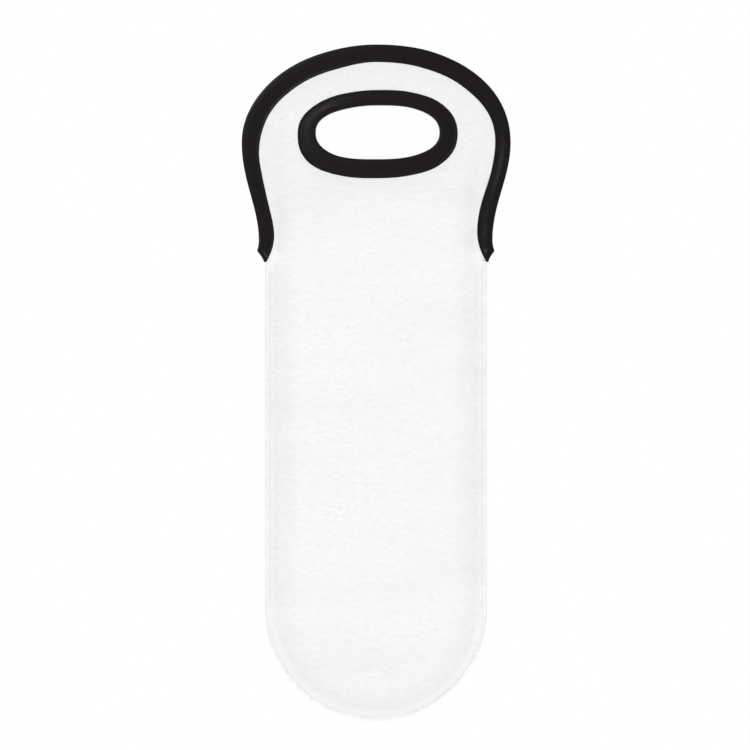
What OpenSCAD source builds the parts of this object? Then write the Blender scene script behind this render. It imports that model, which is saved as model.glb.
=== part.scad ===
// Bottle carrier: a sewn neoprene sleeve with a U-shaped pocket and two grips,
// each with a hand hole. Millimetres, +Z up, the front panel faces -Y.
// The origin is the middle of the hand holes, between the two grips.

/* [Pocket] */
// Width of the empty pocket from side to side
body_w = 128; // [108:1:148]
// Length of the straight side seams, from the round bottom to the mouth
side_len = 201.4; // [120:1:260]
// Steepest slope of a panel beside its rolled edge, in degrees
rise_angle = 22; // [14:1:30]
// Slope at which a panel's flat belly starts, in degrees
belly_angle = 4; // [2:0.5:8]

/* [Neoprene] */
// Thickness of the foam core
core_t = 2.1; // [1.5:0.1:3.5]
// Thickness of the white knit cover and of the black knit lining
knit_t = 0.4; // [0.25:0.05:0.6]

/* [Seam] */
// Width of the seam allowance that is turned inside
allowance = 6.5; // [5.5:0.5:9]
// Gap between the lining faces inside the fold of the seam
fold_gap = 0.8; // [0.6:0.1:2]
// Radius of the shallow valley beside the seam's roll
valley_r = 10; // [6:1:16]
// Radius of the shoulder between the valley and the flat belly
shoulder_r = 40; // [20:1:60]
// Width of the overlock thread along the allowance
wrap_w = 4; // [2:0.5:4.5]
// Thickness of the overlock thread
wrap_t = 0.4; // [0.2:0.05:0.5]

/* [Grips] */
// Reach of a grip's widest place past the pocket's side
lobe_out = 13.6; // [6:0.2:20]
// Reach of a grip's waist past the pocket's side
waist_out = 3.3; // [1:0.1:5]
// Height of a grip above the middle of its hand hole
grip_top = 50.6; // [44:0.2:60]
// Depth of a grip's widest level below the middle of the hand hole
wide_drop = 6.1; // [0:0.1:15]
// Depth of a grip's waist below the middle of the hand hole
waist_drop = 62.2; // [54:0.2:64]
// Depth of the side seam's top below the middle of the hand hole
seam_drop = 74.9; // [72:0.1:85]
// Bow of a grip across its width, near the top
grip_bow = 2.5; // [0:0.1:5]
// Gap between the linings of the two grips, along their rims near the top
mouth_gap = 8; // [5:0.2:16]

/* [Hand hole] */
// Width of the bound hand hole
hole_w = 71.7; // [60:0.1:84]
// Height of the bound hand hole
hole_h = 31.6; // [26:0.1:36]
// Drop of the hole binding's outer line below the hole's own middle
hole_band_drop = 1; // [0:0.1:1.5]

/* [Binding] */
// Width of binding tape that shows on each face
band_w = 9.8; // [8:0.1:11]
// Thickness of the binding tape
tape_t = 0.7; // [0.5:0.05:0.9]
// Flare of the rim binding's tail past the waist
tail_flare = 1.2; // [0:0.1:2.5]
// Gap between the tails of the front and back rim bindings
tail_gap = 1.9; // [1:0.1:3]

/* [Hidden] */

// Colours of the knit, the foam and the tape
white_knit = [0.95, 0.95, 0.95];
black_foam = [0.13, 0.13, 0.14];
black_knit = [0.1, 0.1, 0.11];
black_tape = [0.09, 0.08, 0.09];

// The laminate: cover, core and lining, measured inwards from the cover's face
glue_gap = 0.05;
core_in = knit_t + glue_gap;
core_out = core_in + core_t;
lining_in = core_out + glue_gap;
panel_t = lining_in + knit_t;

// The pocket's section, as four tangent arcs: rolled edge, valley, shoulder and belly
body_r = body_w / 2;
fold_r = panel_t + fold_gap / 2;
roll_x = body_r - fold_r;
edge_v = 2 * fold_r;
valley_x = roll_x - valley_r * sin(rise_angle);
valley_v = edge_v + valley_r * (1 - cos(rise_angle));
belly_x = valley_x - shoulder_r * (sin(rise_angle) - sin(belly_angle));
belly_v = valley_v + shoulder_r * (cos(belly_angle) - cos(rise_angle));
belly_r = belly_x / sin(belly_angle);
crown_v = belly_v + belly_r * (1 - cos(belly_angle));
fold_steps = 8;
valley_steps = 4;
shoulder_steps = 5;
belly_steps = 4;

// Levels along the carrier
pocket_top = -seam_drop;
bottom_centre = pocket_top - side_len;
flex_gap = 0.3;
grip_foot = pocket_top + flex_gap;

// The overlock thread, round the cut edges of both allowances
wrap_gap = 0.05;
wrap_x = roll_x - allowance - wrap_gap - wrap_t;
wrap_end_x = roll_x - allowance + wrap_w;
wrap_v = panel_t + wrap_gap + wrap_t;

// The tape's fold: a half round over the cut edge, seated a little off the panel
tape_seat = 0.25;
nose_gap = 0.4;
tape_in = panel_t / 2 + tape_seat;
tape_out = tape_in + tape_t;
edge_inset = tape_out - sqrt(pow(tape_in, 2) - pow(panel_t / 2, 2)) + nose_gap;
nose_steps = 4;

// The grip's outline: tail, waist, lobe and arch, outside and inside of the tape
grip_r = body_r + lobe_out;
waist_x = body_r + waist_out;
tail_rise = 6.4;
tail_z = pocket_top + tail_rise;
tip_in = 0.6;
tip_x = body_r - tip_in;
waist_band_share = 0.93;
inner_waist_x = waist_x - waist_band_share * band_w;
inner_waist_rise = 4.6;
inner_waist_z = -waist_drop + inner_waist_rise;
inner_wide_sink = 2.9;
inner_wide_z = -wide_drop - inner_wide_sink;
arch_power = 2.07;
hole_power = 2.3;
flare_steps = 2;
lobe_steps = 8;
arch_steps = 12;
foot_steps = 6;
hole_steps = 44;
ring_shares = [0, 0.2, 0.45, 0.72, 1];
tail_ring_share = 0.7;
foot_ring_share = 0.05;

// The grip's surface: it starts as the pocket's section and flattens towards the top
tail_v = tail_gap / 2 + tape_t + tape_seat + panel_t;
tuck_run = 12;
flatten_len = 90;
probe = 0.5;

// Rise of a crowned arc of radius r at distance x from its middle, above its height at angle a
function arc_rise(r, x, a) = sqrt(pow(r, 2) - pow(x, 2)) - r * cos(a);

// Depth of the pocket's outer face in front of its middle plane, at x
function pocket_depth(x) =
    let (a = abs(x))
    a >= roll_x ? edge_v
    : a > valley_x ? edge_v + valley_r - sqrt(pow(valley_r, 2) - pow(roll_x - a, 2))
    : a > belly_x ? belly_v + arc_rise(shoulder_r, a - belly_x + shoulder_r * sin(belly_angle), belly_angle)
    : crown_v - belly_r + sqrt(pow(belly_r, 2) - pow(a, 2));

function ease(t) = let (c = min(1, max(0, t))) c * c * (3 - 2 * c);

// Depth of a grip's outer face at x and z
function grip_depth(x, z) =
    let (
        tuck = (edge_v - tail_v) * ease((abs(x) - roll_x + tuck_run) / tuck_run),
        foot = pocket_depth(x) - tuck,
        top = mouth_gap / 2 + panel_t + grip_bow * (1 - pow(x / grip_r, 2)),
        s = ease((z - pocket_top) / flatten_len)
    )
    foot + s * (top - foot);

// Point of the front grip at p = [x, z], sunk by d below its outer face
function grip_point(p, d) =
    let (
        v = grip_depth(p[0], p[1]),
        dx = (grip_depth(p[0] + probe, p[1]) - grip_depth(p[0] - probe, p[1])) / (2 * probe),
        dz = (grip_depth(p[0], p[1] + probe) - grip_depth(p[0], p[1] - probe)) / (2 * probe),
        n = [-dx, 1, -dz] / norm([-dx, 1, -dz])
    )
    [p[0] - d * n[0], -(v - d * n[1]), p[1] - d * n[2]];

function lerp(a, b, t) = a + (b - a) * t;

// Half wave from a to b
function swell(a, b, t) = lerp(a, b, (1 - cos(180 * t)) / 2);

// Point of a superellipse with half axes a and b, at angle t
function super_point(a, b, power, t) =
    [a * sign(cos(t)) * pow(abs(cos(t)), 2 / power), b * sign(sin(t)) * pow(abs(sin(t)), 2 / power)];

// Right half of the rim, u from 0 at the tail to 3 at the top: the tape's outer line
function rim_outer(u) =
    u < 1 ? [waist_x + tail_flare * pow(1 - u, 2), lerp(tail_z, -waist_drop, u)]
    : u < 2 ? [swell(waist_x, grip_r, u - 1), lerp(-waist_drop, -wide_drop, u - 1)]
    : [0, -wide_drop] + super_point(grip_r, grip_top + wide_drop, arch_power, 90 * (u - 2));

// The same for the tape's inner line
function rim_inner(u) =
    u < 1 ? [lerp(inner_waist_x, tip_x, pow(1 - u, 2)), lerp(grip_foot, inner_waist_z, u)]
    : u < 2 ? [swell(inner_waist_x, grip_r - band_w, u - 1), lerp(inner_waist_z, inner_wide_z, u - 1)]
    : [0, inner_wide_z]
        + super_point(grip_r - band_w, grip_top - band_w - inner_wide_z, arch_power, 90 * (u - 2));

right_rim = [
    for (i = [0 : flare_steps - 1]) i / flare_steps,
    for (i = [0 : lobe_steps - 1]) 1 + i / lobe_steps,
    for (i = [0 : arch_steps]) 2 + i / arch_steps
];
rim_last = len(right_rim) - 1;

function flip_x(p) = [-p[0], p[1]];

// Pairs of outer and inner points round the whole rim, right tail to left tail
rim_pairs = [
    for (u = right_rim) [rim_outer(u), rim_inner(u)],
    for (i = [1 : rim_last]) let (u = right_rim[rim_last - i]) [flip_x(rim_outer(u)), flip_x(rim_inner(u))]
];

// Pair of points across the hole's tape at angle t: the opening's edge, then the tape's outer line
function hole_pair(t) = [
    super_point(hole_w / 2, hole_h / 2, hole_power, t),
    super_point(hole_w / 2 + band_w, hole_h / 2 + band_w, hole_power, t) - [0, hole_band_drop]
];

// Point at distance s from a pair's first point towards its second
function along(pair, s) = pair[0] + (pair[1] - pair[0]) * s / norm(pair[1] - pair[0]);

// The tape's closed section at one pair of points, folded over the panel's edge
function tape_section(pair) =
    let (
        last = norm(pair[1] - pair[0]),
        noses = [for (i = [0 : nose_steps]) 90 - 180 * i / nose_steps],
        outer = [
            [last, tape_out],
            for (a = noses) [tape_out - tape_out * cos(a), tape_out * sin(a)],
            [last, -tape_out]
        ],
        inner = [
            [last, tape_in],
            for (a = noses) [tape_out - tape_in * cos(a), tape_in * sin(a)],
            [last, -tape_in]
        ]
    )
    [for (q = concat(outer, reversed(inner))) grip_point(along(pair, q[0]), panel_t / 2 - q[1])];

function reversed(list) = [for (i = [len(list) - 1 : -1 : 0]) list[i]];

// Edge of a grip's panel under the hole's tape, in the direction of point p
function hole_edge(p) = along(hole_pair(atan2(p[1], p[0])), edge_inset);

// Places round a grip's panel: its edge, and the last ring before it, which follows the tape's line
rim_places = [for (pair = rim_pairs) [along(pair, edge_inset), pair[1]]];
tail_ring = lerp(rim_pairs[0][1], rim_pairs[1][1], tail_ring_share);
right_places = [
    for (i = [0 : foot_steps - 1])
        let (p = [lerp(tip_x, 0, i / foot_steps), grip_foot])
        [p, lerp(p, hole_edge(p), foot_ring_share)]
];
middle_foot = [0, grip_foot];
panel_places = concat(
    [[rim_places[0][0], tail_ring]],
    [for (i = [1 : len(rim_places) - 2]) rim_places[i]],
    [flip_place([rim_places[0][0], tail_ring])],
    [for (place = right_places) flip_place(place)],
    [[middle_foot, lerp(middle_foot, hole_edge(middle_foot), foot_ring_share)]],
    reversed(right_places)
);

function flip_place(place) = [flip_x(place[0]), flip_x(place[1])];

// The closed section of one layer of a grip at one place, from the hole to the edge and back
function layer_section(place, d1, d2) =
    let (
        start = hole_edge(place[0]),
        line = [for (s = ring_shares) lerp(start, place[1], s), place[0]]
    )
    concat([for (p = line) grip_point(p, d1)], [for (p = reversed(line)) grip_point(p, d2)]);

// Solid through a list of equal closed sections, out along one face and back along the other.
// Both faces are split along the same diagonals, and open ends are capped by strips.
module loft(sections, closed) {
    count = len(sections);
    m = len(sections[0]);
    spans = closed ? count : count - 1;
    sides = [
        for (i = [0 : spans - 1], j = [0 : m - 1])
            let (
                a = i * m + j,
                b = i * m + (j + 1) % m,
                c = ((i + 1) % count) * m + (j + 1) % m,
                d = ((i + 1) % count) * m + j
            )
            each j < m / 2 ? [[a, c, b], [a, d, c]] : [[a, d, b], [b, d, c]]
    ];
    last = (count - 1) * m;
    caps = closed ? [] : [
        for (j = [0 : m / 2 - 2])
            let (a = j, b = j + 1, c = m - 2 - j, d = m - 1 - j)
            each [[a, c, d], [a, b, c], [last + a, last + d, last + c], [last + a, last + c, last + b]]
    ];
    polyhedron(points = [for (s = sections) each s], faces = concat(sides, caps));
}

// Right half of the outer face in the pocket's section: [x, v, normal x, normal v]
outer_path = [
    [roll_x - allowance, 0, 0, -1],
    for (i = [0 : fold_steps])
        let (a = -90 + 180 * i / fold_steps)
        [roll_x + fold_r * cos(a), fold_r + fold_r * sin(a), cos(a), sin(a)],
    for (i = [1 : valley_steps])
        let (a = rise_angle * i / valley_steps)
        [roll_x - valley_r * sin(a), edge_v + valley_r * (1 - cos(a)), sin(a), cos(a)],
    for (i = [1 : shoulder_steps])
        let (a = lerp(rise_angle, belly_angle, i / shoulder_steps))
        [
            belly_x + shoulder_r * (sin(a) - sin(belly_angle)),
            belly_v - shoulder_r * (cos(belly_angle) - cos(a)),
            sin(a), cos(a)
        ],
    for (i = [1 : belly_steps])
        let (a = belly_angle * (1 - i / belly_steps))
        [belly_r * sin(a), crown_v - belly_r * (1 - cos(a)), sin(a), cos(a)]
];

function sunk(d) = [for (p = outer_path) [p[0] - d * p[2], p[1] - d * p[3]]];

function mirrored(points) = [for (i = [len(points) - 2 : -1 : 0]) flip_x(points[i])];

// One layer of the back panel between depths d1 and d2: straight sides and round bottom
module pocket_layer(d1, d2) {
    face = sunk(d1);
    back = sunk(d2);
    translate([0, 0, bottom_centre])
        linear_extrude(height = side_len)
            polygon(concat(face, mirrored(face), reversed(concat(back, mirrored(back)))));
    translate([0, 0, bottom_centre])
        rotate([-90, 0, 0])
            rotate_extrude(angle = 180, $fn = 96)
                polygon(concat(face, reversed(back)));
}

module cover_layer() { color(white_knit) pocket_layer(0, knit_t); }
module core_layer() { color(black_foam) pocket_layer(core_in, core_out); }
module lining_layer() { color(black_knit) pocket_layer(lining_in, panel_t); }

// Overlock thread wrapped round both allowances, down one side and up the other
module seam_overlock() {
    hook = [
        [wrap_x, -wrap_v], [wrap_end_x, -wrap_v],
        [wrap_end_x, wrap_t - wrap_v], [wrap_x + wrap_t, wrap_t - wrap_v],
        [wrap_x + wrap_t, wrap_v - wrap_t], [wrap_end_x, wrap_v - wrap_t],
        [wrap_end_x, wrap_v], [wrap_x, wrap_v]
    ];
    color(black_knit) translate([0, 0, bottom_centre]) {
        for (side = [0, 1])
            mirror([side, 0, 0])
                linear_extrude(height = side_len) polygon(hook);
        rotate([-90, 0, 0])
            rotate_extrude(angle = 180, $fn = 96) polygon(hook);
    }
}

// One layer of the front grip between depths d1 and d2
module grip_layer(d1, d2) {
    loft([for (place = panel_places) layer_section(place, d1, d2)], true);
}

module grip_cover() { color(white_knit) grip_layer(0, knit_t); }
module grip_core() { color(black_foam) grip_layer(core_in, core_out); }
module grip_lining() { color(black_knit) grip_layer(lining_in, panel_t); }

// Tape folded over the rim of the front grip, from the right tail to the left tail
module rim_binding() {
    color(black_tape) loft([for (pair = rim_pairs) tape_section(pair)], false);
}

// Tape folded over the edge of the hand hole
module hole_binding() {
    color(black_tape)
        loft([for (i = [0 : hole_steps - 1]) tape_section(hole_pair(-360 * i / hole_steps))], true);
}

module to_back() { mirror([0, 1, 0]) children(); }

to_back() cover_layer();  // front_cover
to_back() core_layer();  // front_core
to_back() lining_layer();  // front_lining
cover_layer();  // back_cover
core_layer();  // back_core
lining_layer();  // back_lining
seam_overlock();
grip_cover();  // front_grip_cover
grip_core();  // front_grip_core
grip_lining();  // front_grip_lining
rim_binding();  // front_rim_binding
hole_binding();  // front_hole_binding
to_back() grip_cover();  // back_grip_cover
to_back() grip_core();  // back_grip_core
to_back() grip_lining();  // back_grip_lining
to_back() rim_binding();  // back_rim_binding
to_back() hole_binding();  // back_hole_binding
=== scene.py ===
"""A neoprene bottle carrier's cloth, tape, thread and stage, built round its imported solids."""

import itertools
import math

import bpy
import numpy as np
from bpy.props import FloatProperty, FloatVectorProperty, IntProperty, PointerProperty
from bpy.types import Operator, Panel, PropertyGroup
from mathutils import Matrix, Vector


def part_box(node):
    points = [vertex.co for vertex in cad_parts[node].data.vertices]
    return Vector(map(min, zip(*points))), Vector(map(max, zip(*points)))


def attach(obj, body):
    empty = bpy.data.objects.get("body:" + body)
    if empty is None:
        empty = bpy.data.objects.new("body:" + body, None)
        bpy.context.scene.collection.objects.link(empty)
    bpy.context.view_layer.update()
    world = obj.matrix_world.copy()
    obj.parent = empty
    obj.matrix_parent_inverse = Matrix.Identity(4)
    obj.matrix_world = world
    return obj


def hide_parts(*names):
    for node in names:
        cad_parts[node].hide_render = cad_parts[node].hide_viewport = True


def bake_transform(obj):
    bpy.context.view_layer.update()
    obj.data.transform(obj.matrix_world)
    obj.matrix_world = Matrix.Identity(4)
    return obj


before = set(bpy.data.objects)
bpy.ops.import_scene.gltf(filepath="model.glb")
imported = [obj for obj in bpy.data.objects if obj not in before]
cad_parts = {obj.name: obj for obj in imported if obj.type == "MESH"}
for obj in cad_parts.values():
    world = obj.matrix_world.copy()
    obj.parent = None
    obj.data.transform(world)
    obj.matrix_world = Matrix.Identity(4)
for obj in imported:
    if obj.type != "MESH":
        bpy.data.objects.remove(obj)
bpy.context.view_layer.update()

bl_info = {
    "name": "Bottle carrier",
    "version": (1, 0, 0),
    "blender": (4, 5, 0),
    "location": "3D View > Sidebar > Carrier",
    "description": "Cuts and sews a neoprene bottle carrier: panels, tape, stitches and stage",
    "category": "Object",
}

POCKET_LOW, POCKET_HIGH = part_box("front_cover")
RIM_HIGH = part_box("front_rim_binding")[1]
FLAT_MAP = "flat_cut"
TAPE_MAP = "tape_run"
MAP_SPAN = 0.5
SMOOTH_ANGLE = math.radians(50)

# Height of the tape's inner face over the panel's middle, beside its free edge
SEAT = 0.00157
# Half the folded tape's profile, from the free edge to the nose. Hem: distance from the free edge
# and rise over the seat, with the stitch line before the last one. Slope: shares of the band, of
# the rise to the full height and of the crown. Nose: distance from the nose, and shares of the
# full height and of the crown.
HEM = ((0, -0.00022), (0.00006, 0), (0.0006, 0.00004), (0.0011, -0.00003), (0.0021, -0.00006))
STITCH_DIP = -0.00010
SLOPE = ((0.70, 0.02, 0), (0.60, 0.20, 0.20), (0.50, 0.58, 0.66), (0.40, 0.90, 1), (0.28, 1, 0.90))
NOSE = (
    (0.0016, 0.998, 0.35), (0.0007, 0.985, 0), (0.0002, 0.90, 0), (0.00004, 0.62, 0), (0, 0.28, 0),
    (0, 0, 0),
)
# A band narrower than this has the same profile, squeezed
FULL_BAND = 0.0072
# The inside of a tail is evened out over this reach from its tip, in this many rounds
END_REACH, END_ROUNDS = 0.012, 12
# A tape stays at least this far from the middle plane
LEAST_DEPTH = 0.0001
# The tape's crown, and where it is fuller: place (along the rim in metres, round the hole as a
# share of its length), reach and height
LOW_CROWN = 0.00003
RIM_CROWN = ((0.056, 0.014, 0.00040), (0.013, 0.007, 0.00045))
HOLE_CROWN = ((0.66, 0.014, 0.00045), (0.53, 0.014, -0.00008))

# Sections along a hole's tape, and points along the stitch rows at the rim and at the hole
HOLE_SECTIONS, RIM_ROW, HOLE_ROW = 150, 400, 220
# Share of a stitch's pitch that shows, and how far it sinks into the tape
STITCH_SHARE, STITCH_SINK = 0.80, 0.00012
# The overlock's rounded corner, its start under the seam's top, and its fine steps round the seam
WRAP_CORNER, WRAP_DROP, WRAP_STEPS = 0.0003, 0.0012, 12000
# The seam's stitches: length, slant, place outside the roll's centre, start and fine steps
LADDER_REACH, LADDER_SLANT, LADDER_OUT = 0.0011, 0.35, 0.0008
LADDER_DROP, LADDER_STEPS = 0.002, 4000

# Uneven tone of the white and of the black knit, slant of a knit loop's legs, and painted shade:
# how much darker the knit is near its head, right beside the roll, more widely beside it, and in
# the seam's groove
COVER_MOTTLE, LINING_MOTTLE, LOOP_SLANT = 0.135, 0.35, 1.1
HEAD_PAINTED_SHADE, NEAR_PAINTED_SHADE, WIDE_PAINTED_SHADE, GROOVE_PAINTED_SHADE = 0.035, 0.032, 0.020, 0.10
CELLS_PER_METRE, TWIST_PITCH = 3200.0, 0.00035
# The floor fades out between these shares of its radius
FLOOR_FADE = (0.30, 0.95)
LOW_WRAP_SHARE, LAMP_FAR = 1.25, 2


def length(label, about, default):
    """A length that the sidebar shows in the scene's own unit."""
    return FloatProperty(
        name=label, description=about, default=default, subtype="DISTANCE", unit="LENGTH",
        precision=5,
    )


def turn(label, about, default):
    """An angle, given here in degrees."""
    angle = math.radians(default)
    return FloatProperty(
        name=label, description=about, default=angle, subtype="ANGLE", unit="ROTATION"
    )


def colour(label, about, default):
    """A linear colour."""
    return FloatVectorProperty(
        name=label, description=about, default=default, subtype="COLOR", min=0, max=1
    )


def number(label, about, default):
    """A plain number."""
    return FloatProperty(name=label, description=about, default=default)


class PocketSizes(PropertyGroup):
    """Sizes of the pocket and of the laminate."""

    body_w: length("Body width", "Width of the empty pocket", 2 * POCKET_HIGH.x)
    top_z: length("Seam top", "Level of the side seams' top", POCKET_HIGH.z)
    bottom_z: length("Bottom", "Level of the round bottom's lowest point", POCKET_LOW.z)
    rise_angle: turn("Rise angle", "Steepest slope of a panel beside its rolled edge", 22)
    belly_angle: turn("Belly angle", "Slope at which the flat belly starts", 4)
    foam_t: length("Foam", "Thickness of the foam core", 0.0021)
    knit_t: length("Knit", "Thickness of the cover and of the lining", 0.0004)
    glue_t: length("Glue", "Gap between foam and knit that the glue takes", 0.00005)
    allowance: length("Allowance", "Width of the turned seam allowance", 0.0065)
    fold_gap: length("Fold gap", "Gap inside the fold of the seam", 0.0008)
    valley_r: length("Valley radius", "Radius of the valley beside the roll", 0.010)
    shoulder_r: length("Shoulder radius", "Radius between the valley and the belly", 0.040)
    ripple: length("Ripple", "Height of the panel's faint ripples", 0.00016)


class GripSizes(PropertyGroup):
    """Sizes of the grips and of their hand holes."""

    wide_x: length("Lobe reach", "Half width of a grip at its widest", 0.0776)
    waist_x: length("Waist reach", "Half width of a grip at its waist", 0.0673)
    top_z: length("Top", "Height of a grip's top", RIM_HIGH.z)
    wide_z: length("Widest level", "Level of a grip's widest place", -0.0061)
    waist_z: length("Waist level", "Level of a grip's waist", -0.0622)
    bow: length("Bow", "Bow of a grip across its width", 0.0025)
    mouth_gap: length("Mouth gap", "Gap between the two linings near the top", 0.008)
    hole_w: length("Hole width", "Width of the bound hand hole", 0.0717)
    hole_h: length("Hole height", "Height of the bound hand hole", 0.0316)
    flatten_len: length("Flattening", "Height over which the pocket's section flattens", 0.090)
    tuck_run: length("Tuck", "Width over which a panel sinks towards its tail", 0.012)
    open_len: length("Opening", "Height over which the rolled edge opens out", 0.008)
    corner_len: length("Corner", "Height over which the roll's corner lifts", 0.003)


class TapeSizes(PropertyGroup):
    """Sizes of the binding tape and of its thread."""

    band_w: length("Band", "Width of tape that shows on each face", 0.0098)
    thickness: length("Thickness", "Thickness of the tape", 0.0006)
    half_t: length("Half thickness", "Height of the tape over the panel's middle", 0.00245)
    tail_flare: length("Tail flare", "Flare of the tail past the waist", 0.0012)
    tail_rise: length("Tail rise", "Height of the tail's outer corner over the seam top", 0.0064)
    tip_in: length("Tip", "Distance of the tail's tip inside the body's edge", 0.0006)
    tip_w: length("Tip width", "Width of the tape at the tail's tip", 0.0008)
    tail_gap: length("Tail gap", "Gap between the front and the back tail", 0.0019)
    edge_inset: length("Edge inset", "Distance of the panel's edge inside the tape's nose", 0.00195)
    hole_drop: length("Hole drop", "Drop of the hole tape's outer line", 0.001)
    stitch_in: length("Stitch line", "Distance of the stitches from the tape's free edge", 0.0015)
    stitch_pitch: length("Stitch pitch", "Length of one stitch with its gap", 0.0030)
    stitch_r: length("Thread radius", "Radius of the sewing thread", 0.00020)
    stations: IntProperty(
        name="Stations", description="Sections along the rim tape", default=260, min=80
    )


class ThreadSizes(PropertyGroup):
    """Sizes of the overlock and of the seam's thread."""

    wrap_w: length("Overlock width", "Width of the overlock on the allowance", 0.0040)
    wrap_pitch: length("Overlock pitch", "Distance between the overlock's loops", 0.0028)
    wrap_r: length("Overlock radius", "Radius of the overlock thread", 0.00018)
    ladder_pitch: length("Seam pitch", "Distance between the seam's stitches", 0.0030)
    ladder_r: length("Seam thread radius", "Radius of the seam's thread", 0.00014)


class Finishes(PropertyGroup):
    """Colours of the cloths, and the size of their weaves."""

    cover: colour("Cover", "White knit outside", (0.90, 0.90, 0.90))
    foam: colour("Foam", "Neoprene foam", (0.012, 0.012, 0.013))
    lining: colour("Lining", "Black knit inside", (0.014, 0.014, 0.015))
    tape: colour("Tape", "Binding tape", (0.0112, 0.0089, 0.0095))
    thread: colour("Thread", "Black sewing thread", (0.011, 0.010, 0.0105))
    seam_thread: colour("Seam thread", "White sewing thread", (0.74, 0.74, 0.74))
    wale: length("Wale", "Width of one column of knit loops", 0.00062)
    course: length("Course", "Height of one row of knit loops", 0.00048)
    rib: length("Tape rib", "Pitch of the tape's fine ribs", 0.00042)


class StageSettings(PropertyGroup):
    """The floor, the light and the camera."""

    floor_z: length("Floor", "Level of the floor", -0.46)
    floor_r: length("Floor radius", "Radius of the floor", 3.2)
    floor: colour("Floor colour", "Pale floor", (0.90, 0.90, 0.90))
    fill: number("Fill", "Brightness of the light from all round", 0.24)
    key: number("Key", "Strength of the broad light from ahead", 2.58)
    wrap: number("Wrap", "Strength of the lights that wrap round the edges from behind", 2.05)
    top: number("Top", "Strength of the light from above", 1.6)
    soft_size: turn("Soft size", "Spread of the key and of the wrapping lights", 12)
    glint: number("Glint", "Strength of the small light that only shows in a shine", 1.5)
    glint_size: turn("Glint size", "Spread of the small light", 8)
    camera_x: length("Camera side", "Place of the camera across", -0.00058)
    camera_z: length("Camera height", "Level of the camera", -0.1402)
    camera_far: length("Camera distance", "Distance of the camera", 8.0)
    view_w: length("View width", "Width that the camera sees at the carrier", 0.4334)


def ease(t):
    """Smooth step from 0 to 1."""
    t = np.clip(t, 0, 1)
    return t * t * (3 - 2 * t)


def lerp(a, b, t):
    """Value between a and b."""
    return a + (b - a) * t


def unit(way):
    """Directions with a length of 1."""
    return way / np.linalg.norm(way, axis=-1, keepdims=True)


def knotted(knots, count, closed=False):
    """Values at even steps that ease from each knot to the next."""
    knots = np.array(knots)
    if closed:
        knots = np.append(knots, knots[0])
    at = np.arange(count) / (count if closed else count - 1) * (len(knots) - 1)
    low = np.minimum(at.astype(int), len(knots) - 2)
    return lerp(knots[low], knots[low + 1], ease(at - low))


def beside(line, shift, closed=False):
    """A line moved by a shift at each point, to the right of its run."""
    way = unit(np.roll(line, -1, 0) - np.roll(line, 1, 0) if closed else np.gradient(line, axis=0))
    return line + shift[:, None] * np.column_stack([way[:, 1], -way[:, 0]])


def bow(power, half_x, half_z, angle):
    """Points of a rounded oval with those half axes."""
    x, z = (np.sign(v) * np.abs(v) ** (2 / power) for v in (np.cos(angle), np.sin(angle)))
    return np.column_stack([half_x * x, half_z * z])


def run_length(points, closed=False):
    """Distance along a line of points, from its first point."""
    if closed:
        points = np.vstack([points, points[:1]])
    steps = np.linalg.norm(np.diff(points, axis=0), axis=1)
    return np.concatenate([[0], np.cumsum(steps)])


def sampled(line, run, at):
    """Points at some distances along a line whose own points lie at the distances of run."""
    return np.stack([np.interp(at, run, line[:, i]) for i in range(line.shape[1])], axis=-1)


def respaced(lines, guide, count, closed=False):
    """Lines sampled again at equal steps along a guide line."""
    run = run_length(guide, closed)
    at = np.linspace(0, run[-1], count + closed)[:count]
    if closed:
        lines = [np.vstack([line, line[:1]]) for line in lines]
    return [sampled(line, run, at) for line in lines]


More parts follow.
